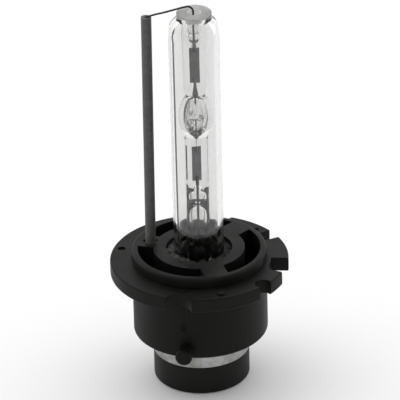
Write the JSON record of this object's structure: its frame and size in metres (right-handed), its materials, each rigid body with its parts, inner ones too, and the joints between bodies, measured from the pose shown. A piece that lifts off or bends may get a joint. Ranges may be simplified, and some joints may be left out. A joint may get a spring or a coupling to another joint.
{
  "type": "gas-discharge headlight bulb",
  "caption": "Gas-discharge headlight bulb: quartz burner in a clear outer tube with a ceramic-sleeved return wire, on a black prefocus cap with a flange, bayonet pegs and ring contact.",
  "frame": {"origin": "on the bulb's axis, at the top face of the prefocus flange, where the centring collar starts", "axes": "+Z along the bulb's axis towards the tip; +X towards the wide tab of the flange; the ceramic tube stands on the -X side"},
  "size_m": [0.032, 0.032, 0.0731],
  "materials": {
    "cap_plastic": "fine matt moulding, black",
    "socket_plastic": "matt moulding, black",
    "ring_metal": "pressed sheet metal, slightly dulled",
    "centre_metal": "plated, satin",
    "solder": "frozen solder, smooth",
    "weld_metal": "rough weld",
    "cement": "lumpy, unglazed, grey-brown",
    "quartz": "clear, polished by flame, ground at the tip",
    "foil": "rolled foil, satin",
    "electrode": "drawn wire, dull",
    "lead_wire": "drawn wire, oxidised",
    "return_wire": "drawn wire, oxidised",
    "ceramic_tube": "unglazed, dark grey",
    "salt": "frozen melt, dull yellow-grey",
    "mercury": "bright liquid metal"
  },
  "bodies": {
    "root": {"cap_housing": "cap_plastic", "socket_insert": "socket_plastic", "contact_ring": "ring_metal", "centre_contact": "centre_metal", "centre_solder": "solder", "ring_weld": "weld_metal", "burner_cement": "cement", "tube_cement": "cement", "outer_envelope": "quartz", "arc_tube": "quartz", "upper_foil": "foil", "lower_foil": "foil", "upper_electrode": "electrode", "lower_electrode": "electrode", "upper_lead": "lead_wire", "lower_lead": "lead_wire", "return_wire": "return_wire", "lead_sleeve": "weld_metal", "ceramic_tube": "ceramic_tube", "halide_salts": "salt", "mercury_beads": "mercury"}
  },
  "joints": []
}
